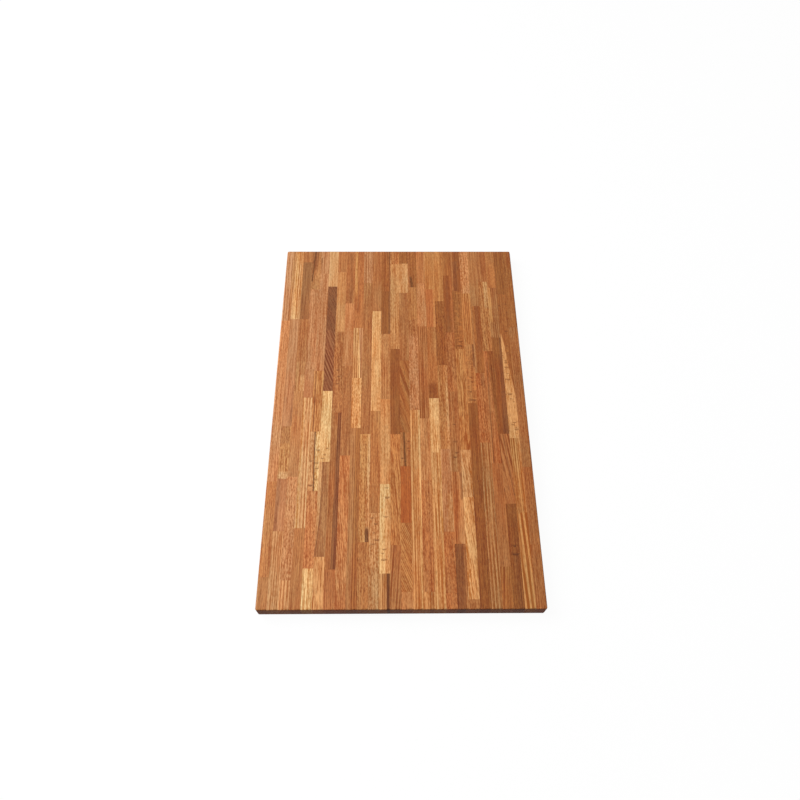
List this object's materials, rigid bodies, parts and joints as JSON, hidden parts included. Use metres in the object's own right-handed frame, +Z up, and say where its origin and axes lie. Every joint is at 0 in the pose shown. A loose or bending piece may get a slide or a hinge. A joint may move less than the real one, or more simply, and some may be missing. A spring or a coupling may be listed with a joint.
{
  "type": "butcher block countertop",
  "caption": "Flat rectangular solid wood countertop slab, glued up from long rows of butt-jointed oak staves, with eased edges and slightly rounded corners.",
  "frame": {"origin": "centre of the underside, on the surface that the slab lies on", "axes": "+X across the rows to the right, +Y along the rows towards the far end, +Z up through the thickness"},
  "size_m": [0.6604, 1.0668, 0.0381],
  "materials": {
    "oiled_oak": "satin"
  },
  "bodies": {
    "root": {"strip_01": "oiled_oak", "strip_02": "oiled_oak", "strip_03": "oiled_oak", "strip_04": "oiled_oak", "strip_05": "oiled_oak", "strip_06": "oiled_oak", "strip_07": "oiled_oak", "strip_08": "oiled_oak", "strip_09": "oiled_oak", "strip_10": "oiled_oak", "strip_11": "oiled_oak", "strip_12": "oiled_oak", "strip_13": "oiled_oak", "strip_14": "oiled_oak", "strip_15": "oiled_oak", "strip_16": "oiled_oak", "strip_17": "oiled_oak", "strip_18": "oiled_oak", "strip_19": "oiled_oak", "strip_20": "oiled_oak", "strip_21": "oiled_oak", "strip_22": "oiled_oak", "strip_23": "oiled_oak", "strip_24": "oiled_oak", "strip_25": "oiled_oak", "strip_26": "oiled_oak"}
  },
  "joints": []
}
